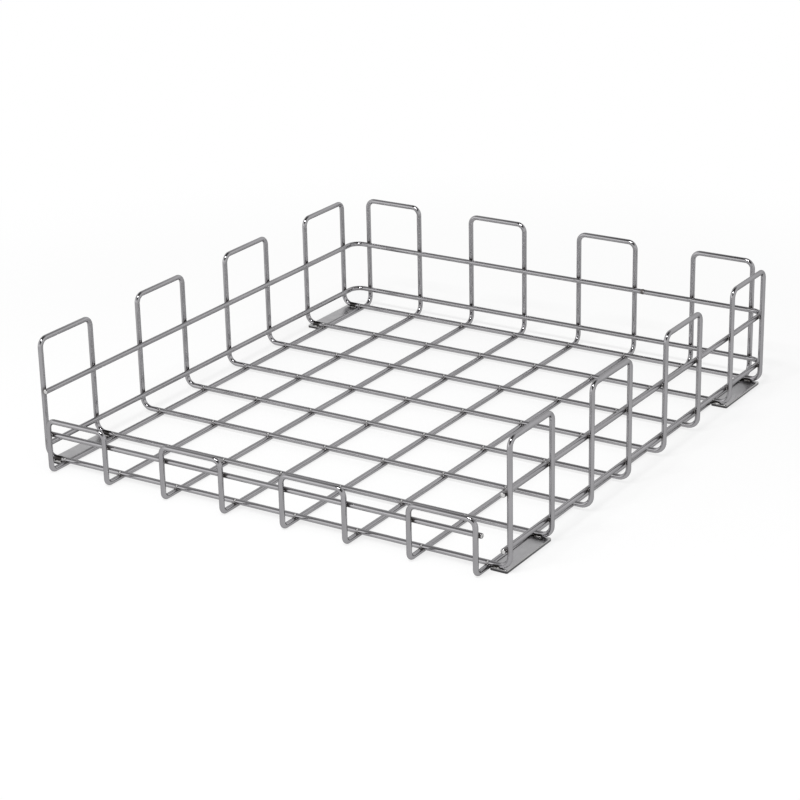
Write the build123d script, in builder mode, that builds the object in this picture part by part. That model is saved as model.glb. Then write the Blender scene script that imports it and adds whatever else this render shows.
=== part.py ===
"""Welded wire basket for an autoclave, with three tall walls and one low front wall."""
import math
import os

from build123d import *

os.makedirs("parts", exist_ok=True)

# Driving dimensions, in millimetres. The origin is the middle of the basket at floor level.
# X runs to the right along the low front wall, Y towards the back, Z up.
wire_dia = 5.0
hoop_width = 500.0         # between the wire centres of the left and right walls
hoop_depth = 550.0         # between the wire centres of the front and back walls
basket_height = 124.0      # floor level to the top of the tall loops
front_height = 55.0        # floor level to the top of the low front loops
loops_across = 4           # loops along the front wall, and as many along the back
loops_deep = 4             # loops along each side wall
edge_inset = 21.0          # wall to the nearest floor wire, between wire centres
weld_sink = 2.0            # how deep crossing floor wires are pressed into each other and welded
top_bend = 8.0             # bend radius at the top of a tall loop, at the wire centre
floor_bend = 10.0          # bend radius between a tall wall and the floor
front_bend = 5.0           # bend radius of the low front loops, top and bottom
rail_bend = 12.0           # bend radius of a rail round a back corner
middle_rail_level = 72.0   # floor level to the centre of the middle rail
lower_rail_level = 20.5    # floor level to the centre of the lower rail
front_rail_level = 37.0    # floor level to the centre of the front rail
rail_overhang = 4.0        # how far a rail runs past the centre of the last leg
rail_seam = 110.0          # middle of the basket to the butt weld in the middle rail
foot_width = 17.0
foot_thickness = 3.0
foot_corner = 1.5          # corner radius of a foot, seen from above

# The round wire is drawn with flat sides and its bends with short chords, to keep the mesh light.
wire_sides = 16
bend_sag = 0.25            # how far a chord may lie inside the arc of its bend

wire_rad = wire_dia / 2
right_wall = hoop_width / 2
left_wall = -right_wall
back_wall = hoop_depth / 2
front_wall = -back_wall
floor_step = wire_dia - weld_sink                        # between the two layers of floor wires
lower_floor = wire_rad + max(0, foot_thickness - floor_step)   # floor wires that run front to back
upper_floor = lower_floor + floor_step                   # floor wires that run side to side
tall_level = basket_height - wire_rad
low_level = front_height - wire_rad
side_pitch = (hoop_depth - 2 * edge_inset) / (2 * loops_deep - 1)
front_pitch = (hoop_width - 2 * edge_inset) / (2 * loops_across - 1)
side_rows = [front_wall + edge_inset + step * side_pitch for step in range(2 * loops_deep)]


def bend_points(before, corner, after, radius):
    """Points along the arc that rounds a square corner between two straight runs."""
    back = (before - corner).normalized()
    onward = (after - corner).normalized()
    centre = corner + (back + onward) * radius
    chord_angle = 2 * math.acos(1 - bend_sag / radius)
    chords = math.ceil(math.pi / 2 / chord_angle)
    angles = [math.pi / 2 * step / chords for step in range(chords + 1)]
    return [centre - (onward * math.cos(angle) + back * math.sin(angle)) * radius for angle in angles]


def closed_route(corners):
    """Route of a closed hoop, from its corners as (x, y, z, bend radius)."""
    points = [Vector(x, y, z) for x, y, z, radius in corners]
    route = []
    for index, corner in enumerate(corners):
        following = points[(index + 1) % len(points)]
        route += bend_points(points[index - 1], points[index], following, corner[3])
    return route


def rail_route(start, bends, end):
    """Route of an open rail, rounded by the rail's radius at each point between its ends."""
    points = [Vector(*point) for point in (start, *bends, end)]
    route = [points[0]]
    for before, corner, after in zip(points, points[1:], points[2:]):
        route += bend_points(before, corner, after, rail_bend)
    return route + [points[-1]]


def section_plane(route):
    """Plane across the wire at the start of its route."""
    direction = (route[1] - route[0]).normalized()
    sideways = Vector(1, 0, 0) if abs(direction.X) < abs(direction.Y) else Vector(0, 1, 0)
    return Plane(origin=route[0], x_dir=sideways, z_dir=direction)


# Side hoops: one closed wire makes a left loop, two floor wires and a right loop.
for loop in range(loops_deep):
    near, far = side_rows[2 * loop:2 * loop + 2]
    hoop_route = closed_route([
        (left_wall, near, upper_floor, floor_bend),
        (right_wall, near, upper_floor, floor_bend),
        (right_wall, near, tall_level, top_bend),
        (right_wall, far, tall_level, top_bend),
        (right_wall, far, upper_floor, floor_bend),
        (left_wall, far, upper_floor, floor_bend),
        (left_wall, far, tall_level, top_bend),
        (left_wall, near, tall_level, top_bend),
    ])
    with BuildPart() as side_hoop:
        with BuildLine():
            Polyline(*hoop_route, close=True)
        with BuildSketch(section_plane(hoop_route)):
            RegularPolygon(wire_rad, wire_sides)
        sweep(transition=Transition.RIGHT)
    side_hoop.part.label = f"side_hoop_{loop + 1}"
    export_step(side_hoop.part, f"parts/side_hoop_{loop + 1}.step")

# Long hoops: one closed wire makes a low front loop, two floor wires and a tall back loop.
for loop in range(loops_across):
    left = left_wall + edge_inset + 2 * loop * front_pitch
    right = left + front_pitch
    hoop_route = closed_route([
        (left, front_wall, lower_floor, front_bend),
        (left, front_wall, low_level, front_bend),
        (right, front_wall, low_level, front_bend),
        (right, front_wall, lower_floor, front_bend),
        (right, back_wall, lower_floor, floor_bend),
        (right, back_wall, tall_level, top_bend),
        (left, back_wall, tall_level, top_bend),
        (left, back_wall, lower_floor, floor_bend),
    ])
    with BuildPart() as long_hoop:
        with BuildLine():
            Polyline(*hoop_route, close=True)
        with BuildSketch(section_plane(hoop_route)):
            RegularPolygon(wire_rad, wire_sides)
        sweep(transition=Transition.RIGHT)
        # The floor wires of the side hoops lie across this hoop, sunk into it at their welds.
        with BuildSketch(Plane.YZ.offset(left - wire_dia)):
            with Locations(*[(row, upper_floor) for row in side_rows]):
                RegularPolygon(wire_rad, wire_sides)
        extrude(amount=front_pitch + 2 * wire_dia, mode=Mode.SUBTRACT)
    long_hoop.part.label = f"long_hoop_{loop + 1}"
    export_step(long_hoop.part, f"parts/long_hoop_{loop + 1}.step")

# Rails: they lie inside the legs of the loops, against them, and end just past the last legs.
rail_side = right_wall - wire_dia
rail_back = back_wall - wire_dia
rail_front = front_wall + edge_inset - rail_overhang

# The lower rail is one wire that runs round the left, back and right walls.
lower_route = rail_route(
    (-rail_side, rail_front, lower_rail_level),
    [(-rail_side, rail_back, lower_rail_level), (rail_side, rail_back, lower_rail_level)],
    (rail_side, rail_front, lower_rail_level),
)
with BuildPart() as lower_rail:
    with BuildLine():
        Polyline(*lower_route)
    with BuildSketch(section_plane(lower_route)):
        RegularPolygon(wire_rad, wire_sides)
    sweep(transition=Transition.RIGHT)
lower_rail.part.label = "lower_rail"
export_step(lower_rail.part, "parts/lower_rail.step")

# The middle rail is two bent wires, butt welded end to end in the back wall.
for side, wall_x in {"left": -rail_side, "right": rail_side}.items():
    middle_route = rail_route(
        (wall_x, rail_front, middle_rail_level),
        [(wall_x, rail_back, middle_rail_level)],
        (rail_seam, rail_back, middle_rail_level),
    )
    with BuildPart() as middle_rail:
        with BuildLine():
            Polyline(*middle_route)
        with BuildSketch(section_plane(middle_route)):
            RegularPolygon(wire_rad, wire_sides)
        sweep(transition=Transition.RIGHT)
    middle_rail.part.label = f"middle_rail_{side}"
    export_step(middle_rail.part, f"parts/middle_rail_{side}.step")

# The front rail is a straight wire inside the low front loops.
front_rail_end = right_wall - edge_inset + rail_overhang
front_rail_start = Vector(-front_rail_end, front_wall + wire_dia, front_rail_level)
front_rail_route = [front_rail_start, Vector(front_rail_end, front_rail_start.Y, front_rail_start.Z)]
with BuildPart() as front_rail:
    with BuildLine():
        Polyline(*front_rail_route)
    with BuildSketch(section_plane(front_rail_route)):
        RegularPolygon(wire_rad, wire_sides)
    sweep()
front_rail.part.label = "front_rail"
export_step(front_rail.part, "parts/front_rail.step")

# Feet: flat bars under the first and last side hoops, each against the outermost long wire.
foot_length = side_pitch + wire_dia
foot_across = right_wall - edge_inset + wire_rad + foot_width / 2
foot_along = back_wall - edge_inset - side_pitch / 2
foot_base = upper_floor - wire_rad - foot_thickness
foot_places = {
    "front_left": (-foot_across, -foot_along),
    "front_right": (foot_across, -foot_along),
    "back_left": (-foot_across, foot_along),
    "back_right": (foot_across, foot_along),
}
for corner, foot_place in foot_places.items():
    with BuildPart() as foot:
        with BuildSketch(Plane.XY.offset(foot_base)):
            with Locations(foot_place):
                RectangleRounded(foot_width, foot_length, foot_corner)
        extrude(amount=foot_thickness)
    foot.part.label = f"foot_{corner}"
    export_step(foot.part, f"parts/foot_{corner}.step")
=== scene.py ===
import math
import random

import bmesh
import bpy
from mathutils import Matrix, Vector


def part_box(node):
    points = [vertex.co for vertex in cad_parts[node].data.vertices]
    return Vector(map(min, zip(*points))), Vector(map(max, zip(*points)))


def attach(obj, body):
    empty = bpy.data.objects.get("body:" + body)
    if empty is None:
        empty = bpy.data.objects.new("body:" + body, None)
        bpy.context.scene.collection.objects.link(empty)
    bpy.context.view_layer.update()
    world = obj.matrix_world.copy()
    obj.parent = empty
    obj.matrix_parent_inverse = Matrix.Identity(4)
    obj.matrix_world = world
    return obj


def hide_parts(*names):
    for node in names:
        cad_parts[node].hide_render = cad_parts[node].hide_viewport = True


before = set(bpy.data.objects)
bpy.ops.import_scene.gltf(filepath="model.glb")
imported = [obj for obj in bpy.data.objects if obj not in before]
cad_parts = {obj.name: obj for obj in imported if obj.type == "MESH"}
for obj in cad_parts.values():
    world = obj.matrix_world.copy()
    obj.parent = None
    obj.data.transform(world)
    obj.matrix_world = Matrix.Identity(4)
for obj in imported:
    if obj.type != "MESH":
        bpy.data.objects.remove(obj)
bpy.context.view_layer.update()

mm = 0.001


def addNode(tree, kind, values=None, **settings):
    node = tree.nodes.new(kind)
    for name, value in settings.items():
        setattr(node, name, value)
    for socket, value in (values or {}).items():
        if isinstance(value, bpy.types.NodeSocket):
            tree.links.new(value, node.inputs[socket])
        else:
            node.inputs[socket].default_value = value
    return node


def mathNode(tree, operation, first, second=0.0, third=0.0, clamp=False):
    values = {0: first, 1: second, 2: third}
    return addNode(tree, "ShaderNodeMath", values, operation=operation, use_clamp=clamp).outputs[0]


def rampNode(tree, factor, stops):
    node = addNode(tree, "ShaderNodeValToRGB", {0: factor})
    ramp = node.color_ramp
    while len(ramp.elements) < len(stops):
        ramp.elements.new(0.5)
    for element, (place, colour) in zip(ramp.elements, stops):
        element.position = place
        element.color = (*colour, 1.0)
    return node.outputs[0]


# A colour that goes from the first to the second between two values of the factor.
def blendNode(tree, factor, edges, first=(0, 0, 0), second=(1, 1, 1)):
    return rampNode(tree, factor, [(edges[0], first), (edges[1], second)])


def mixColour(tree, factor, first, second, blend="MIX"):
    values = {0: factor, 6: first, 7: second}
    return addNode(tree, "ShaderNodeMix", values, data_type="RGBA", blend_type=blend).outputs[2]


def smoothNode(tree, value, edges, ends):
    values = {"Value": value, "From Min": edges[0], "From Max": edges[1]}
    values.update({"To Min": ends[0], "To Max": ends[1]})
    return addNode(tree, "ShaderNodeMapRange", values, interpolation_type="SMOOTHSTEP").outputs[0]


def attributeNode(tree, name, output="Fac"):
    return addNode(tree, "ShaderNodeAttribute", attribute_name=name).outputs[output]


def noiseNode(tree, vector, scale, detail, roughness):
    values = {"Vector": vector, "Scale": scale, "Detail": detail, "Roughness": roughness}
    return addNode(tree, "ShaderNodeTexNoise", values).outputs[0]


def stretchedNoise(tree, vector, stretch, roughness):
    mapped = addNode(tree, "ShaderNodeMapping", {"Vector": vector, "Scale": stretch}).outputs[0]
    return noiseNode(tree, mapped, 1.0, 3.0, roughness)


def bumpNode(tree, height, depth, strength, normal=None):
    values = {"Height": height, "Distance": depth, "Strength": strength}
    if normal is not None:
        values["Normal"] = normal
    return addNode(tree, "ShaderNodeBump", values).outputs[0]


# Roughness that varies with a grain, by the spread in all.
def roughNode(tree, grain, middle, spread):
    return mathNode(tree, "MULTIPLY_ADD", grain, spread, middle - spread / 2)


def newMaterial(name):
    material = bpy.data.materials.new(name)
    material.use_nodes = True
    tree = material.node_tree
    tree.nodes.clear()
    return material, tree


def finishMetal(tree, values):
    shader = addNode(tree, "ShaderNodeBsdfPrincipled", {"Metallic": 1.0, **values})
    addNode(tree, "ShaderNodeOutputMaterial", {"Surface": shader.outputs[0]})


# Fine lines along the metal, darker in their hollows.
grainLook = {
    "edges": (0.25, 0.75),
    "hollow": (0.86, 0.86, 0.87),
    "crest": (1.05, 1.05, 1.05),
    "roughness": 0.6,
    "strength": 0.9,
}


def shadeGrain(tree, tone, grain):
    shade = blendNode(tree, grain, grainLook["edges"], grainLook["hollow"], grainLook["crest"])
    return mixColour(tree, 1.0, tone, shade, "MULTIPLY")


# Drawn and electropolished stainless wire, darker where a weld has coloured it, with painted shade on the
# side that meets the other wire.
wireLook = {
    "steel": (0.316, 0.311, 0.319),
    "steelPale": (0.364, 0.358, 0.368),
    "patchStretch": (240, 240, 28),
    "patchRoughness": 0.55,
    "patchEdges": (0.3, 0.7),
    # heat tint of a weld, also painted shade where the wire meets another
    "weldTintAndGapShade": (0.085, 0.075, 0.070),
    "tintShadeShift": 0.5,                        # evens out the edge of the tint and painted shade
    "tintShadeRoughness": 0.22,                   # what the tint and painted shade add to the roughness
    "paintedRimAndBurn": (0.030, 0.028, 0.027),      # painted dark rim round the painted glint at a weld, and the colour of the burns
    "rimEdges": (0.22, 0.36),
    # painted glint at a weld, also used for the paler cut ends of a wire
    "glintAndBurnMark": (0.860, 0.855, 0.850),
    "spotEdges": (0.50, 0.62),
    "grazing": (0.50, 0.50, 0.50, 1.0),       # dulls the wire where it is seen edge-on
    "roughness": 0.13,
    "roughSpread": 0.10,
    "drawStretch": (2600, 2600, 45),
    "drawLines": 0.012 * mm,                  # depth of the lines that the drawing die leaves
    "pitScale": 1900.0,
    "pits": 0.010 * mm,
    "pitStrength": 0.7,
}


def makeWireSteel(look):
    material, tree = newMaterial("drawnWireSteel")
    along = attributeNode(tree, "alongWire", "Vector")
    tintAndShade = attributeNode(tree, "weldTintAndGapShade")
    pressed = attributeNode(tree, "glintAndBurnMark")
    lines = stretchedNoise(tree, along, look["drawStretch"], grainLook["roughness"])
    patches = stretchedNoise(tree, along, look["patchStretch"], look["patchRoughness"])
    pits = noiseNode(tree, along, look["pitScale"], 2.0, 0.7)
    tone = blendNode(tree, patches, look["patchEdges"], look["steel"], look["steelPale"])
    tone = shadeGrain(tree, tone, lines)
    unevenTintShade = mathNode(tree, "ADD", patches, look["tintShadeShift"])
    tintShadeEdge = mathNode(tree, "MULTIPLY", tintAndShade, unevenTintShade, clamp=True)
    colour = mixColour(tree, tintShadeEdge, tone, (*look["weldTintAndGapShade"], 1.0))
    # pressed holds the glint and burn mark: high values paint a glint, middle ones a painted dark rim or a
    # burn
    rimShare = blendNode(tree, pressed, look["rimEdges"])
    glintShare = blendNode(tree, pressed, look["spotEdges"])
    colour = mixColour(tree, rimShare, colour, (*look["paintedRimAndBurn"], 1.0))
    colour = mixColour(tree, glintShare, colour, (*look["glintAndBurnMark"], 1.0))
    rough = roughNode(tree, lines, look["roughness"], look["roughSpread"])
    tintShadeRough = mathNode(tree, "MULTIPLY", tintShadeEdge, look["tintShadeRoughness"])
    lineBump = bumpNode(tree, lines, look["drawLines"], grainLook["strength"])
    finishMetal(tree, {
        "Base Color": colour,
        "Roughness": mathNode(tree, "ADD", rough, tintShadeRough),
        "Specular Tint": look["grazing"],
        "Normal": bumpNode(tree, pits, look["pits"], look["pitStrength"], lineBump),
    })
    return material


# Weld metal: burnt, lumpy and duller than the wire.
weldLook = {
    "burnt": (0.045, 0.041, 0.038),
    "bright": (0.420, 0.412, 0.408),
    "cloudScale": 420.0,
    "cloudEdges": (0.38, 0.55),
    "roughness": 0.34,
    "roughSpread": 0.2,
    "grainScale": 2400.0,
    "grainDepth": 0.04 * mm,
    "grainStrength": 0.8,
}


def makeWeldSteel(look):
    material, tree = newMaterial("weldSteel")
    place = addNode(tree, "ShaderNodeTexCoord").outputs["Object"]
    cloud = noiseNode(tree, place, look["cloudScale"], 3.0, 0.6)
    grain = noiseNode(tree, place, look["grainScale"], 2.0, 0.6)
    finishMetal(tree, {
        "Base Color": blendNode(tree, cloud, look["cloudEdges"], look["burnt"], look["bright"]),
        "Roughness": roughNode(tree, grain, look["roughness"], look["roughSpread"]),
        "Normal": bumpNode(tree, grain, look["grainDepth"], look["grainStrength"]),
    })
    return material


# Flat bar of the feet: satin mill finish, rubbed bright along its edges, dark on its sheared sides with
# painted shade near the floor.
barLook = {
    "satin": (0.300, 0.297, 0.303),
    "satinPale": (0.350, 0.347, 0.353),
    "cloudScale": 90.0,
    "cloudEdges": (0.32, 0.68),
    # dark sheared side, darkened further by painted shade where the foot meets the floor
    "shearedAndShaded": (0.060, 0.058, 0.060),
    "rubbed": (0.470, 0.466, 0.462),
    "rubShift": 0.25,            # evens out the edge of the rubbed steel
    "rubPolish": 0.08,           # what rubbing takes off the roughness
    "roughness": 0.30,
    "roughSpread": 0.16,
    "brushStretch": (2400, 60, 2400),
    "brushing": 0.015 * mm,
}


def makeBarSteel(look):
    material, tree = newMaterial("flatBarSteel")
    place = addNode(tree, "ShaderNodeTexCoord").outputs["Object"]
    rub = attributeNode(tree, "edgeRub")
    shearedAndShaded = attributeNode(tree, "shearedAndShadedSide")
    brush = stretchedNoise(tree, place, look["brushStretch"], grainLook["roughness"])
    cloud = noiseNode(tree, place, look["cloudScale"], 3.0, 0.6)
    tone = blendNode(tree, cloud, look["cloudEdges"], look["satin"], look["satinPale"])
    tone = shadeGrain(tree, tone, brush)
    unevenRub = mathNode(tree, "ADD", cloud, look["rubShift"])
    wear = mathNode(tree, "MULTIPLY", rub, unevenRub, clamp=True)
    colour = mixColour(tree, wear, tone, (*look["rubbed"], 1.0))
    rough = roughNode(tree, brush, look["roughness"], look["roughSpread"])
    polish = mathNode(tree, "MULTIPLY", wear, look["rubPolish"])
    finishMetal(tree, {
        "Base Color": mixColour(tree, shearedAndShaded, colour, (*look["shearedAndShaded"], 1.0)),
        "Roughness": mathNode(tree, "SUBTRACT", rough, polish),
        "Normal": bumpNode(tree, brush, look["brushing"], grainLook["strength"]),
    })
    return material


wireSteel = makeWireSteel(wireLook)
weldSteel = makeWeldSteel(weldLook)
barSteel = makeBarSteel(barLook)
print("materials made: wire, weld, flat bar")


# The basket's sizes come from the frame. The straight front rail gives the radius of the wire.
railLow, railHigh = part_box("front_rail")
wireRadius = (railHigh.z - railLow.z) / 2
frontRailLevel = (railLow.z + railHigh.z) / 2
frontRailPlace = (railLow.y + railHigh.y) / 2


def wireCentres(node):
    low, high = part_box(node)
    inset = Vector((wireRadius, wireRadius, wireRadius))
    return low + inset, high - inset


sideBoxes = [wireCentres(f"side_hoop_{count}") for count in range(1, 5)]
longBoxes = [wireCentres(f"long_hoop_{count}") for count in range(1, 5)]
rows = [edge.y for box in sideBoxes for edge in box]      # floor wires from side to side
columns = [edge.x for box in longBoxes for edge in box]   # floor wires from front to back
leftWall, rightWall = sideBoxes[0][0].x, sideBoxes[0][1].x
frontWall, backWall = longBoxes[0][0].y, longBoxes[0][1].y
upperFloor, tallLevel = sideBoxes[0][0].z, sideBoxes[0][1].z
lowerFloor = longBoxes[0][0].z
lowerRailLow, lowerRailHigh = wireCentres("lower_rail")
middleRailLevel = wireCentres("middle_rail_left")[0].z
railLevels = (lowerRailLow.z, middleRailLevel)
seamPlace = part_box("middle_rail_left")[1].x

wireSizes = {
    "sides": 20,
    "topBend": 8 * mm,
    "floorBend": 10 * mm,
    "frontBend": 5 * mm,
    "lowTopBend": 7.5 * mm,      # at the top of the low front loops
    "railBend": 12 * mm,
    "frontLevel": 52.5 * mm,     # wire centre at the top of the low front loops
    "bendSteps": 9,
    "runStep": 30 * mm,          # between rings on a plain stretch
    "leastStep": 0.2 * mm,
    "weldSteps": (-7, -4.5, -3, -2, -1, 0, 1, 2, 3, 4.5, 7),    # rings round a weld, in millimetres
    "weldRoom": 8 * mm,          # other rings stay this far from a weld
    "endDome": 0.9 * mm,
    "endShares": (0.35, 0.65, 0.88),
    "endFlat": 0.35,             # how much of the wire's width stays flat at its end
    "endBright": 0.58,
}

# What a weld does to the wire near it, with painted shade where the wires meet and a painted glint.
markSizes = {
    "reach": 12 * mm,            # beyond this it does nothing
    "tintShadeReach": 3.2 * mm,      # how far the tint and painted shade reach along the wire
    "tintShadeLevel": 0.35,
    "gapShadeTurn": 0.65,           # how much more painted shade it puts on the side away from the electrode, where the other wire lies
    # painted glint: a bright spot with a painted dark rim, on the side of the weld that faces glintSide
    "glintReach": 1.5 * mm,
    "glintSharpness": 6,
    "glintSide": (0, -0.62, 0.785),
    "squeeze": 0.32 * mm,        # how much the electrode flattens the far side of the wire
    "squeezeReach": 2.2 * mm,
    "squeezeFacing": 0.3,        # only where the wire faces the electrode by more than this
    "butt": 0.35 * mm,           # how proud the butt weld in the middle rail stands
    "buttReach": 1.1 * mm,
    "buttStain": 2.2 * mm,
}

# A wire over a foot is burnt black by its weld: nearly all round on the left, below on the right.
burnSizes = {
    "reach": 5.5 * mm,
    "falloff": 4,
    "shade": 0.46,
    "unevenness": (0.7, 1.3),
    "contrast": 2.5,             # how sharply the burn ends round the wire
    "shift": 2.5 * mm,           # from the end of the floor bend to the middle of the burn
    "leftSide": (0, -0.6, 0.8),
    "leftSpread": 0.55,
    "rightSide": (0, -0.5, -0.86),
    "rightSpread": 0.1,
}


# A weld on a wire: where it is on the centre line, the side that the electrode pressed,
# and the side that gets a painted glint.
def weldMark(place, pressed, glintWay=(0, 0, 0)):
    return Vector(place), Vector(pressed), Vector(glintWay)


def arcPoints(before, corner, after, radius, steps):
    back = (before - corner).normalized()
    onward = (after - corner).normalized()
    centre = corner + (back + onward) * radius
    points = []
    for step in range(steps + 1):
        angle = math.pi / 2 * step / steps
        points.append(centre - (onward * math.cos(angle) + back * math.sin(angle)) * radius)
    return points


# Points along a straight stretch, closer together near its welds.
def runPoints(start, end, marks):
    length = (end - start).length
    direction = (end - start) / length
    stops = {0.0, length}
    pieces = max(1, round(length / wireSizes["runStep"]))
    for step in range(1, pieces):
        stops.add(length * step / pieces)
    for place, pressed, glintWay in marks:
        distance = (place - start).dot(direction)
        aside = (start + direction * distance - place).length
        if aside > 0.1 * mm or not -1 * mm < distance < length + 1 * mm:    # this weld is on another stretch
            continue
        room = wireSizes["weldRoom"]
        stops = {stop for stop in stops if abs(stop - distance) > room or stop in (0.0, length)}
        close = [distance + offset * mm for offset in wireSizes["weldSteps"]]
        stops.update(stop for stop in close if 0 < stop < length)
    ordered = sorted(stops)
    kept = [ordered[0]]
    for stop in ordered[1:]:
        if stop - kept[-1] > wireSizes["leastStep"]:
            kept.append(stop)
    return [start + direction * stop for stop in kept]


# Route of a wire from its corners, as (x, y, z, bend radius). The ends of an open wire have no radius.
def routePoints(corners, marks, closed):
    points = [Vector(corner[:3]) for corner in corners]
    bends = []
    for index, corner in enumerate(corners):
        if closed or 0 < index < len(corners) - 1:
            before = points[index - 1]
            after = points[(index + 1) % len(points)]
            bends.append(arcPoints(before, points[index], after, corner[3], wireSizes["bendSteps"]))
        else:
            bends.append([points[index]])
    route = []
    last = len(bends) if closed else len(bends) - 1
    for index in range(last):
        route += bends[index]
        following = bends[(index + 1) % len(bends)]
        route += runPoints(bends[index][-1], following[0], marks)[1:-1]
    if not closed:
        route += bends[-1]
    return route


def wireTangents(route, closed):
    count = len(route)
    tangents = []
    for index, here in enumerate(route):
        if closed:
            ahead, behind = route[(index + 1) % count], route[index - 1]
        else:
            ahead, behind = route[min(index + 1, count - 1)], route[max(index - 1, 0)]
        first = (here - behind).normalized() if here != behind else (ahead - here).normalized()
        second = (ahead - here).normalized() if ahead != here else first
        tangents.append((first + second).normalized())
    return tangents


def fade(gap, reach, power=2):
    return math.exp(-(gap / reach) ** power)


# Radius, tint with painted shade, and the painted glint and burn marks of a point on the wire, from the
# welds, burns and butt weld near it.
def weldedSurface(here, outward, marks, burns, bulge):
    radius, tintAndShade, bright = wireRadius, 0.0, 0.0
    for place, pressed, glintWay in marks:
        gap = (here - place).length
        if gap > markSizes["reach"]:
            continue
        facing = outward.dot(pressed)
        heat = fade(gap, markSizes["tintShadeReach"])
        # painted shade: darker on the side away from the electrode, where the other wire touches
        tintAndShade = max(tintAndShade, heat * max(0.0, markSizes["tintShadeLevel"] - markSizes["gapShadeTurn"] * facing))
        # painted glint, on the side facing glintWay; bright here holds this painted glint and the burns
        towardsGlint = max(0.0, outward.dot(glintWay)) ** markSizes["glintSharpness"]
        bright = max(bright, fade(gap, markSizes["glintReach"]) * towardsGlint)
        flat = markSizes["squeeze"] * fade(gap, markSizes["squeezeReach"])
        if facing > markSizes["squeezeFacing"]:
            radius = min(radius, (wireRadius - flat) / facing)
    for place, side, spread in burns:
        gap = (here - place).length
        if gap > markSizes["reach"]:
            continue
        heat = fade(gap, burnSizes["reach"], burnSizes["falloff"]) * random.uniform(*burnSizes["unevenness"])
        reached = min(1.0, max(0.0, outward.dot(side) + spread) * burnSizes["contrast"])
        bright = max(bright, burnSizes["shade"] * min(1.0, heat * reached))
    if bulge:
        away = (here - bulge).length
        radius += markSizes["butt"] * fade(away, markSizes["buttReach"])
        tintAndShade = max(tintAndShade, fade(away, markSizes["buttStain"]))
    return radius, tintAndShade, bright


def joinRings(mesh, first, second, shift=0):
    sides = len(first)
    for side in range(sides):
        following = (side + 1) % sides
        ahead, behind = second[(following + shift) % sides], second[(side + shift) % sides]
        mesh.faces.new((first[side], first[following], ahead, behind))


# Skin over a stack of rings, capped at its ends or closed into a loop.
def skinRings(mesh, rings, closed=False):
    for first, second in zip(rings, rings[1:]):
        joinRings(mesh, first, second)
    if closed:
        joinRings(mesh, rings[-1], rings[0])
    else:
        mesh.faces.new(list(reversed(rings[0])))
        mesh.faces.new(rings[-1])


# The end of a wire, sheared off and then tumbled until its rim is round.
def capEnd(mesh, ring, centre, outward, alongLayer, glintBurnLayer, flipped):
    dome, flat = wireSizes["endDome"], wireSizes["endFlat"]
    for vertex in ring:
        vertex.co -= outward * dome
    previous = ring
    for share in wireSizes["endShares"]:
        spread = flat + (1 - flat) * math.cos(share * math.pi / 2)
        rise = math.sin(share * math.pi / 2) * dome
        inner = []
        for vertex in ring:
            radial = vertex.co + outward * dome - centre
            fresh = mesh.verts.new(centre - outward * dome + radial * spread + outward * rise)
            fresh[alongLayer] = vertex[alongLayer]
            inner.append(fresh)
        if flipped:
            joinRings(mesh, inner, previous)
        else:
            joinRings(mesh, previous, inner)
        previous = inner
        for vertex in inner:
            vertex[glintBurnLayer] = wireSizes["endBright"]
    mesh.faces.new(list(reversed(previous)) if flipped else previous)


def finishPiece(mesh, name, material):
    bmesh.ops.recalc_face_normals(mesh, faces=mesh.faces)
    data = bpy.data.meshes.new(name)
    mesh.to_mesh(data)
    mesh.free()
    for polygon in data.polygons:
        polygon.use_smooth = True
    data.materials.append(material)
    piece = bpy.data.objects.new(name, data)
    bpy.context.scene.collection.objects.link(piece)
    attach(piece, "root")
    return piece


def makeWire(name, corners, marks, closed, bulge=None, burns=()):
    route = routePoints(corners, marks, closed)
    tangents = wireTangents(route, closed)
    sides = wireSizes["sides"]
    upright = Vector((0, 0, 1)) if abs(tangents[0].z) < 0.5 else Vector((0, 1, 0))
    normal = (upright - tangents[0] * upright.dot(tangents[0])).normalized()
    mesh = bmesh.new()
    alongLayer = mesh.verts.layers.float_vector.new("alongWire")
    tintShadeLayer = mesh.verts.layers.float.new("weldTintAndGapShade")
    glintBurnLayer = mesh.verts.layers.float.new("glintAndBurnMark")
    rings = []
    travelled = 0.0
    for index, (here, tangent) in enumerate(zip(route, tangents)):
        if index:
            turn = tangents[index - 1].rotation_difference(tangent)
            normal = turn @ normal
            travelled += (here - route[index - 1]).length
        normal = (normal - tangent * normal.dot(tangent)).normalized()
        across = tangent.cross(normal)
        ring = []
        for side in range(sides):
            angle = 2 * math.pi * side / sides
            outward = normal * math.cos(angle) + across * math.sin(angle)
            radius, tintAndShade, bright = weldedSurface(here, outward, marks, burns, bulge)
            vertex = mesh.verts.new(here + outward * radius)
            vertex[alongLayer] = (math.cos(angle) * wireRadius, math.sin(angle) * wireRadius, travelled)
            vertex[tintShadeLayer] = tintAndShade
            vertex[glintBurnLayer] = bright
            ring.append(vertex)
        rings.append(ring)
    for first, second in zip(rings, rings[1:]):
        joinRings(mesh, first, second)
    if closed:
        turn = tangents[-1].rotation_difference(tangents[0])
        carried = turn @ normal
        start = rings[0][0].co - route[0]
        turned = math.atan2(carried.cross(start).dot(tangents[0]), carried.dot(start))
        shift = round(turned / (2 * math.pi / sides)) % sides
        joinRings(mesh, rings[-1], rings[0], -shift)
    else:
        capEnd(mesh, rings[0], route[0], -tangents[0], alongLayer, glintBurnLayer, True)
        capEnd(mesh, rings[-1], route[-1], tangents[-1], alongLayer, glintBurnLayer, False)
    return finishPiece(mesh, name, wireSteel)


# Side hoops: one closed wire makes a left loop, two floor wires and a right loop.
def sideHoopMarks(near, far):
    marks = []
    for row in (near, far):
        for column in columns:
            marks.append(weldMark((column, row, upperFloor), (0, 0, 1), markSizes["glintSide"]))
        for level in railLevels:
            marks.append(weldMark((leftWall, row, level), (-1, 0, 0)))
            marks.append(weldMark((rightWall, row, level), (1, 0, 0)))
    return marks


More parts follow.
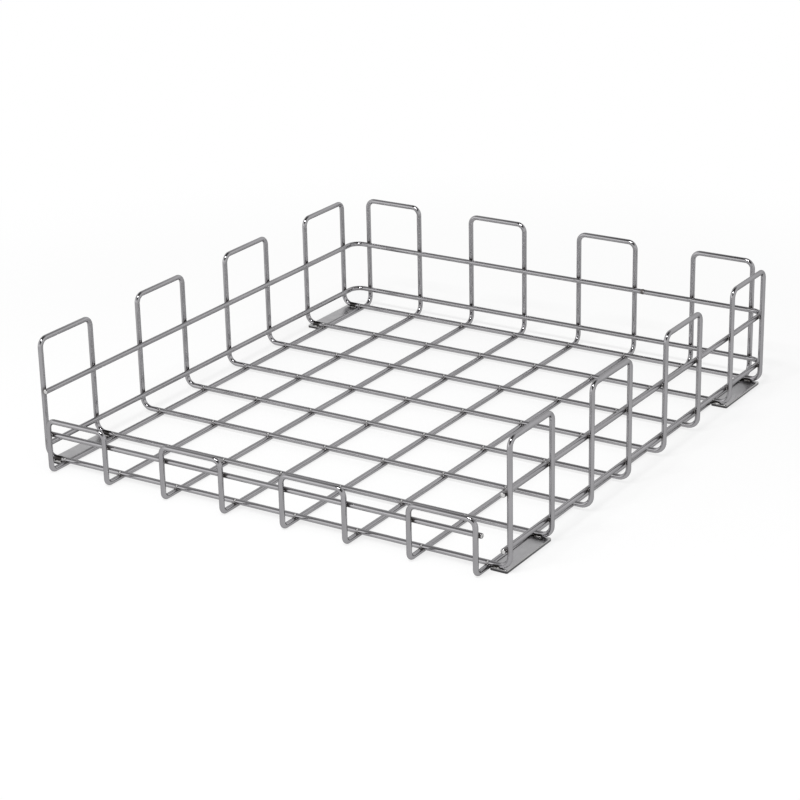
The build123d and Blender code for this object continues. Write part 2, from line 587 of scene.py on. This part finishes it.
def footBurns(near, far):
    inset = wireSizes["floorBend"] + burnSizes["shift"]
    leftSide, rightSide = Vector(burnSizes["leftSide"]), Vector(burnSizes["rightSide"])
    burns = []
    for row in (near, far):
        if row in rows[:2] + rows[-2:]:    # the wires that lie on a foot
            burns.append((Vector((leftWall + inset, row, upperFloor)), leftSide, burnSizes["leftSpread"]))
            burns.append((Vector((rightWall - inset, row, upperFloor)), rightSide, burnSizes["rightSpread"]))
    return burns


random.seed(5)
floorBend, topBend = wireSizes["floorBend"], wireSizes["topBend"]
for count, (low, high) in enumerate(sideBoxes, 1):
    near, far = low.y, high.y
    corners = [
        (leftWall, near, upperFloor, floorBend),
        (rightWall, near, upperFloor, floorBend),
        (rightWall, near, tallLevel, topBend),
        (rightWall, far, tallLevel, topBend),
        (rightWall, far, upperFloor, floorBend),
        (leftWall, far, upperFloor, floorBend),
        (leftWall, far, tallLevel, topBend),
        (leftWall, near, tallLevel, topBend),
    ]
    hoop = makeWire(f"sideHoop{count}", corners, sideHoopMarks(near, far), True, burns=footBurns(near, far))
    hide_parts(f"side_hoop_{count}")
print("side hoops made:", len(sideBoxes))


# Long hoops: one closed wire makes a low front loop, two floor wires and a tall back loop.
def longHoopMarks(left, right):
    marks = []
    for column in (left, right):
        marks += [weldMark((column, row, lowerFloor), (0, 0, -1)) for row in rows]
        marks.append(weldMark((column, frontWall, frontRailLevel), (0, -1, 0)))
        for level in railLevels:
            marks.append(weldMark((column, backWall, level), (0, 1, 0)))
    return marks


frontBend, lowTopBend, frontLevel = (wireSizes[name] for name in ("frontBend", "lowTopBend", "frontLevel"))
for count, (low, high) in enumerate(longBoxes, 1):
    left, right = low.x, high.x
    corners = [
        (left, frontWall, lowerFloor, frontBend),
        (left, frontWall, frontLevel, lowTopBend),
        (right, frontWall, frontLevel, lowTopBend),
        (right, frontWall, lowerFloor, frontBend),
        (right, backWall, lowerFloor, floorBend),
        (right, backWall, tallLevel, topBend),
        (left, backWall, tallLevel, topBend),
        (left, backWall, lowerFloor, floorBend),
    ]
    hoop = makeWire(f"longHoop{count}", corners, longHoopMarks(left, right), True)
    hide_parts(f"long_hoop_{count}")
print("long hoops made:", len(longBoxes))


# Rails: they lie inside the legs, and their ends stand just past the last legs.
def railMarks(side, back, level):
    marks = []
    for row in rows:
        marks.append(weldMark((-side, row, level), (1, 0, 0)))
        marks.append(weldMark((side, row, level), (-1, 0, 0)))
    for column in columns:
        marks.append(weldMark((column, back, level), (0, -1, 0)))
    return marks


def makeRail(name, level, bulge):
    side, back, front = lowerRailHigh.x, lowerRailHigh.y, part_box("lower_rail")[0].y
    corners = [
        (-side, front, level),
        (-side, back, level, wireSizes["railBend"]),
        (side, back, level, wireSizes["railBend"]),
        (side, front, level),
    ]
    marks = railMarks(side, back, level)
    if bulge:
        marks.append(weldMark(bulge, (0, 0, 0)))
    return makeWire(name, corners, marks, False, bulge)


lowerRail = makeRail("lowerRail", lowerRailLow.z, None)
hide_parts("lower_rail")
seam = Vector((seamPlace, lowerRailHigh.y, middleRailLevel))
middleRail = makeRail("middleRail", middleRailLevel, seam)
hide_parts("middle_rail_left", "middle_rail_right")
frontMarks = [weldMark((column, frontRailPlace, frontRailLevel), (0, 1, 0)) for column in columns]
frontCorners = [(end.x, frontRailPlace, frontRailLevel) for end in (railLow, railHigh)]
frontRail = makeWire("frontRail", frontCorners, frontMarks, False)
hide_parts("front_rail")
print("rails made: lower, middle, front")


# A bead of weld metal along a line of points, as (point, radius); closed beads run round a joint.
beadSizes = {
    "sides": 7,
    "steep": 0.95,      # a line steeper than this has no level direction across it
}


def addBead(mesh, line, closed, unevenness):
    count, sides = len(line), beadSizes["sides"]
    rings = []
    for index, (point, radius) in enumerate(line):
        ahead = line[(index + 1) % count][0] if closed or index < count - 1 else point
        behind = line[index - 1][0] if closed or index else point
        tangent = (ahead - behind).normalized()
        across = tangent.orthogonal().normalized()
        if abs(tangent.z) < beadSizes["steep"]:
            across = tangent.cross(Vector((0, 0, 1))).normalized()
        upward = across.cross(tangent)
        ring = []
        for side in range(sides):
            angle = 2 * math.pi * side / sides
            reach = radius * (1 + unevenness * random.uniform(-1, 1))
            ring.append(mesh.verts.new(point + (across * math.cos(angle) + upward * math.sin(angle)) * reach))
        rings.append(ring)
    skinRings(mesh, rings, closed)


# Flash squeezed out where one floor wire was pressed into the other, along the line where they meet.
flashSizes = {
    "radius": 0.34 * mm,
    "swell": (0.6, 1.35),
    "steps": 28,
    "unevenness": 0.35,
    "height": 0.98,     # share of the joint's full height
}


def flashLine(column, row):
    contact = (upperFloor + lowerFloor) / 2
    sink = 2 * wireRadius - (upperFloor - lowerFloor)
    line = []
    for step in range(flashSizes["steps"]):
        angle = 2 * math.pi * step / flashSizes["steps"]
        level = contact + sink / 2 * math.cos(2 * angle) * flashSizes["height"]
        sideways = math.sqrt(max(0.0, wireRadius ** 2 - (upperFloor - level) ** 2))
        lengthwise = math.sqrt(max(0.0, wireRadius ** 2 - (level - lowerFloor) ** 2))
        x = column + math.copysign(lengthwise, math.sin(angle))
        y = row + math.copysign(sideways, math.cos(angle))
        line.append((Vector((x, y, level)), flashSizes["radius"] * random.uniform(*flashSizes["swell"])))
    return line


random.seed(7)
floorWelds = bmesh.new()
for column in columns:
    for row in rows:
        addBead(floorWelds, flashLine(column, row), True, flashSizes["unevenness"])
floorWelds = finishPiece(floorWelds, "floorWelds", weldSteel)

# The neck of weld metal that fills the gap between an upright leg and the rail across it.
neckSizes = {
    "reach": 1.9 * mm,      # how far the neck spreads from the point where the wires touch
    "pinch": 0.35,          # how much its middle draws in
    "levels": (-1.0, -0.55, 0.0, 0.55, 1.0),    # from the leg, at -1, to the rail or back
    "around": 16,
    "unevenness": 0.18,
    "sunk": 0.12 * mm,      # how deep its ends sit in the wires
}


# How far the surface of a wire falls away, beside the line where it touches another.
def wireFall(offset):
    return wireRadius - math.sqrt(wireRadius ** 2 - offset ** 2)


def addNeck(mesh, place, normal):
    upward = Vector((0, 0, 1))
    across = normal.cross(upward)
    around, sunk = neckSizes["around"], neckSizes["sunk"]
    rings = []
    for level in neckSizes["levels"]:
        ring = []
        for step in range(around):
            angle = 2 * math.pi * step / around
            wobble = 1 + neckSizes["unevenness"] * random.uniform(-1, 1)
            far = neckSizes["reach"] * wobble * (1 - neckSizes["pinch"] * (1 - abs(level)))
            lengthwise, sideways = math.cos(angle) * far, math.sin(angle) * far
            upper = wireFall(sideways) + sunk
            lower = -wireFall(lengthwise) - sunk
            height = upper * (level + 1) / 2 + lower * (1 - level) / 2
            ring.append(mesh.verts.new(place + upward * lengthwise + across * sideways + normal * height))
        rings.append(ring)
    skinRings(mesh, rings)


wallWelds = bmesh.new()
for level in railLevels:
    for row in rows:
        for side in (-1, 1):
            addNeck(wallWelds, Vector((side * (rightWall - wireRadius), row, level)), Vector((side, 0, 0)))
    for column in columns:
        addNeck(wallWelds, Vector((column, backWall - wireRadius, level)), Vector((0, 1, 0)))
for column in columns:
    addNeck(wallWelds, Vector((column, frontWall + wireRadius, frontRailLevel)), Vector((0, -1, 0)))
wallWelds = finishPiece(wallWelds, "wallWelds", weldSteel)
print("welds made")


# Feet: flat bar, cropped to length and eased along its edges.
footSizes = {
    "ease": 0.45 * mm,
    "corner": 1.5 * mm,
    "cornerSteps": 5,
    "rubWidth": 0.8 * mm,
}


def footOutline(low, high, inset):
    corner, steps = footSizes["corner"], footSizes["cornerSteps"]
    left, right = low.x + corner, high.x - corner
    near, far = low.y + corner, high.y - corner
    points = []
    for x, y, start in ((right, far, 0), (left, far, 90), (left, near, 180), (right, near, 270)):
        for step in range(steps + 1):
            angle = math.radians(start + 90 * step / steps)
            points.append((x + math.cos(angle) * (corner - inset), y + math.sin(angle) * (corner - inset)))
    return points


# Rings of a foot from its underside up, as (height, inset, how rubbed, how dark the sheared side is, painted
# shade included).
def footLayers(bottom, top):
    ease, rubWidth = footSizes["ease"], footSizes["rubWidth"]
    return [
        (bottom, ease, 0.0, 1.0),
        (bottom + ease * 0.3, ease * 0.3, 0.0, 1.0),
        (bottom + ease, 0, 0.0, 1.0),
        (bottom + 3 * ease, 0, 0.0, 1.0),
        (top - 2.2 * ease, 0, 0.0, 0.9),
        (top - ease, 0, 0.8, 0.1),
        (top - ease * 0.3, ease * 0.3, 1.0, 0.0),
        (top, ease, 1.0, 0.0),
        (top, ease + rubWidth, 0.0, 0.0),
    ]


def makeFoot(name, node):
    low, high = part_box(node)
    mesh = bmesh.new()
    rubLayer = mesh.verts.layers.float.new("edgeRub")
    shearShadeLayer = mesh.verts.layers.float.new("shearedAndShadedSide")
    rings = []
    for height, inset, rub, shearedAndShaded in footLayers(low.z, high.z):
        ring = []
        for x, y in footOutline(low, high, inset):
            vertex = mesh.verts.new((x, y, height))
            vertex[rubLayer] = rub
            vertex[shearShadeLayer] = shearedAndShaded
            ring.append(vertex)
        rings.append(ring)
    skinRings(mesh, rings)
    foot = finishPiece(mesh, name, barSteel)
    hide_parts(node)


for corner in ("front_left", "front_right", "back_left", "back_right"):
    end, side = corner.split("_")
    makeFoot(f"foot{end.capitalize()}{side.capitalize()}", f"foot_{corner}")
print("feet made: 4")

# Fillets along both sides of a side hoop's wire where it lies on a foot.
filletSizes = {
    "radius": 0.75 * mm,
    "swell": (0.45, 0.75),       # thickness at the ends, and what the middle adds to it
    "swellRange": (0.7, 1.2),
    "start": 2.2 * mm,           # from the inner edge of the foot
    "length": 7.0 * mm,
    "steps": 9,
    "unevenness": 0.30,
    "aside": 1.75 * mm,          # from the centre line of the wire
    "wander": (-0.15, 0.25),     # in millimetres
    "margin": 0.8 * mm,          # least distance to the ends of the foot
    "rise": 0.35 * mm,           # above the top of the foot
}


def filletLine(low, high, inner, outward, row, edge):
    least, most = low.y + filletSizes["margin"], high.y - filletSizes["margin"]
    thin, added = filletSizes["swell"]
    line = []
    for step in range(filletSizes["steps"]):
        share = step / (filletSizes["steps"] - 1)
        along = inner + outward * (filletSizes["start"] + share * filletSizes["length"])
        swell = thin + added * math.sin(math.pi * share) * random.uniform(*filletSizes["swellRange"])
        sideways = row + edge * (filletSizes["aside"] + random.uniform(*filletSizes["wander"]) * mm)
        sideways = min(max(sideways, least), most)
        point = Vector((along, sideways, high.z + filletSizes["rise"]))
        line.append((point, filletSizes["radius"] * swell))
    return line


footWelds = bmesh.new()
for side in ("left", "right"):
    for end in ("front", "back"):
        low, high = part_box(f"foot_{end}_{side}")
        inner, outward = (high.x, -1) if side == "left" else (low.x, 1)
        for row in [row for row in rows if low.y < row < high.y]:
            for edge in (-1, 1):
                line = filletLine(low, high, inner, outward, row, edge)
                addBead(footWelds, line, False, filletSizes["unevenness"])
footWelds = finishPiece(footWelds, "footWelds", weldSteel)
print("foot welds made")


studio = {
    "floorSize": 8.0,
    "floorGap": 0.1 * mm,            # below the feet, so that they don't flicker against the floor
    "floorColour": (0.96, 0.96, 0.96),
    "floorGlow": (0.74, 1.0),        # how much of the floor's white is its own, near the basket and far off
    "glowReach": (0.40, 0.95),
    "floorInMetal": 0.86,            # the same share where the wire mirrors the floor
    "skySteps": [(0.0, 1.1), (0.59, 1.1), (0.67, 0.56), (0.86, 0.48), (0.92, 0.06), (1.0, 0.04)],
    "skyPatches": [
        ((0.14, -0.60, 0.78), (0.76, 0.90), 0.05),     # the unlit side of the room, behind whoever looks
        ((-0.50, -0.79, 0.36), (0.80, 0.97), 1.20),    # a pale wall on the left
        ((-0.53, -0.84, 0.10), (0.94, 0.99), 1.40),    # and a window low in it
    ],
}


def floorMaterial():
    material, tree = newMaterial("paleFloor")
    path = addNode(tree, "ShaderNodeLightPath").outputs
    place = addNode(tree, "ShaderNodeTexCoord").outputs["Object"]
    away = addNode(tree, "ShaderNodeVectorMath", {0: place}, operation="LENGTH").outputs["Value"]
    own = smoothNode(tree, away, studio["glowReach"], studio["floorGlow"])
    mirrored = mathNode(tree, "MAXIMUM", path["Is Glossy Ray"], path["Is Transmission Ray"])
    inMetal = mathNode(tree, "MULTIPLY", mirrored, studio["floorInMetal"])
    seen = mathNode(tree, "MULTIPLY", path["Is Camera Ray"], own)
    share = mathNode(tree, "MAXIMUM", seen, inMetal)
    matt = addNode(tree, "ShaderNodeBsdfDiffuse", {"Color": (*studio["floorColour"], 1.0)})
    glow = addNode(tree, "ShaderNodeEmission", {"Color": (1.0, 1.0, 1.0, 1.0), "Strength": 1.0})
    mixed = addNode(tree, "ShaderNodeMixShader", {0: share, 1: matt.outputs[0], 2: glow.outputs[0]})
    addNode(tree, "ShaderNodeOutputMaterial", {"Surface": mixed.outputs[0]})
    return material


def makeFloor():
    half, level = studio["floorSize"] / 2, -studio["floorGap"]
    data = bpy.data.meshes.new("floor")
    corners = [(-half, -half, level), (half, -half, level), (half, half, level), (-half, half, level)]
    data.from_pydata(corners, [], [(0, 1, 2, 3)])
    data.materials.append(floorMaterial())
    floor = bpy.data.objects.new("floor", data)
    bpy.context.scene.collection.objects.link(floor)


def makeSky():
    world = bpy.data.worlds.new("studio")
    bpy.context.scene.world = world
    world.use_nodes = True
    tree = world.node_tree
    tree.nodes.clear()
    direction = addNode(tree, "ShaderNodeTexCoord").outputs["Generated"]
    height = addNode(tree, "ShaderNodeSeparateXYZ", {0: direction}).outputs["Z"]
    colour = rampNode(tree, height, [(place, (share, share, share)) for place, share in studio["skySteps"]])
    for way, reach, strength in studio["skyPatches"]:
        values = {0: direction, 1: Vector(way).normalized()}
        towards = addNode(tree, "ShaderNodeVectorMath", values, operation="DOT_PRODUCT").outputs["Value"]
        patch = smoothNode(tree, towards, reach, (1.0, strength))
        colour = mixColour(tree, 1.0, colour, patch, "MULTIPLY")
    back = addNode(tree, "ShaderNodeBackground", {"Color": colour})
    addNode(tree, "ShaderNodeOutputWorld", {"Surface": back.outputs[0]})


# One soft lamp, high over the front of the basket.
topLight = {
    "place": (0.10, -1.30, 2.25),
    "aim": (0, 0, 0.05),
    "width": 1.20,
    "height": 0.40,
    "power": 40,
}


def addLamp(name, lamp):
    data = bpy.data.lights.new(name, "AREA")
    data.shape = "RECTANGLE"
    data.size = lamp["width"]
    data.size_y = lamp["height"]
    data.energy = lamp["power"]
    item = bpy.data.objects.new(name, data)
    item.location = lamp["place"]
    facing = Vector(lamp["aim"]) - Vector(lamp["place"])
    item.rotation_euler = facing.to_track_quat("-Z", "Y").to_euler()
    bpy.context.scene.collection.objects.link(item)


makeFloor()
makeSky()
addLamp("topLight", topLight)

view = {
    "turn": 32.514,        # degrees round from the front towards the right
    "rise": 21.172,
    "roll": -1.224,
    "distance": 2.34735,
    "aim": (-0.037297, 0.030635, 0.0055),
    "lens": 106.326,       # in millimetres, like the sensor's width
    "sensor": 36.0,
}


def placeCamera():
    turn, rise, roll = (math.radians(view[name]) for name in ("turn", "rise", "roll"))
    back = Vector((math.sin(turn) * math.cos(rise), -math.cos(turn) * math.cos(rise), math.sin(rise)))
    level = Vector((math.cos(turn), math.sin(turn), 0))
    upward = back.cross(level)
    right = level * math.cos(roll) + upward * math.sin(roll)
    up = upward * math.cos(roll) - level * math.sin(roll)
    data = bpy.data.cameras.new("camera")
    data.lens = view["lens"]
    data.sensor_width = view["sensor"]
    camera = bpy.data.objects.new("camera", data)
    turned = Matrix((right, up, back)).transposed().to_4x4()
    camera.matrix_world = Matrix.Translation(Vector(view["aim"]) + back * view["distance"]) @ turned
    bpy.context.scene.collection.objects.link(camera)
    bpy.context.scene.camera = camera


placeCamera()
bpy.context.scene.view_settings.view_transform = "Standard"
print("floor, light and camera set")
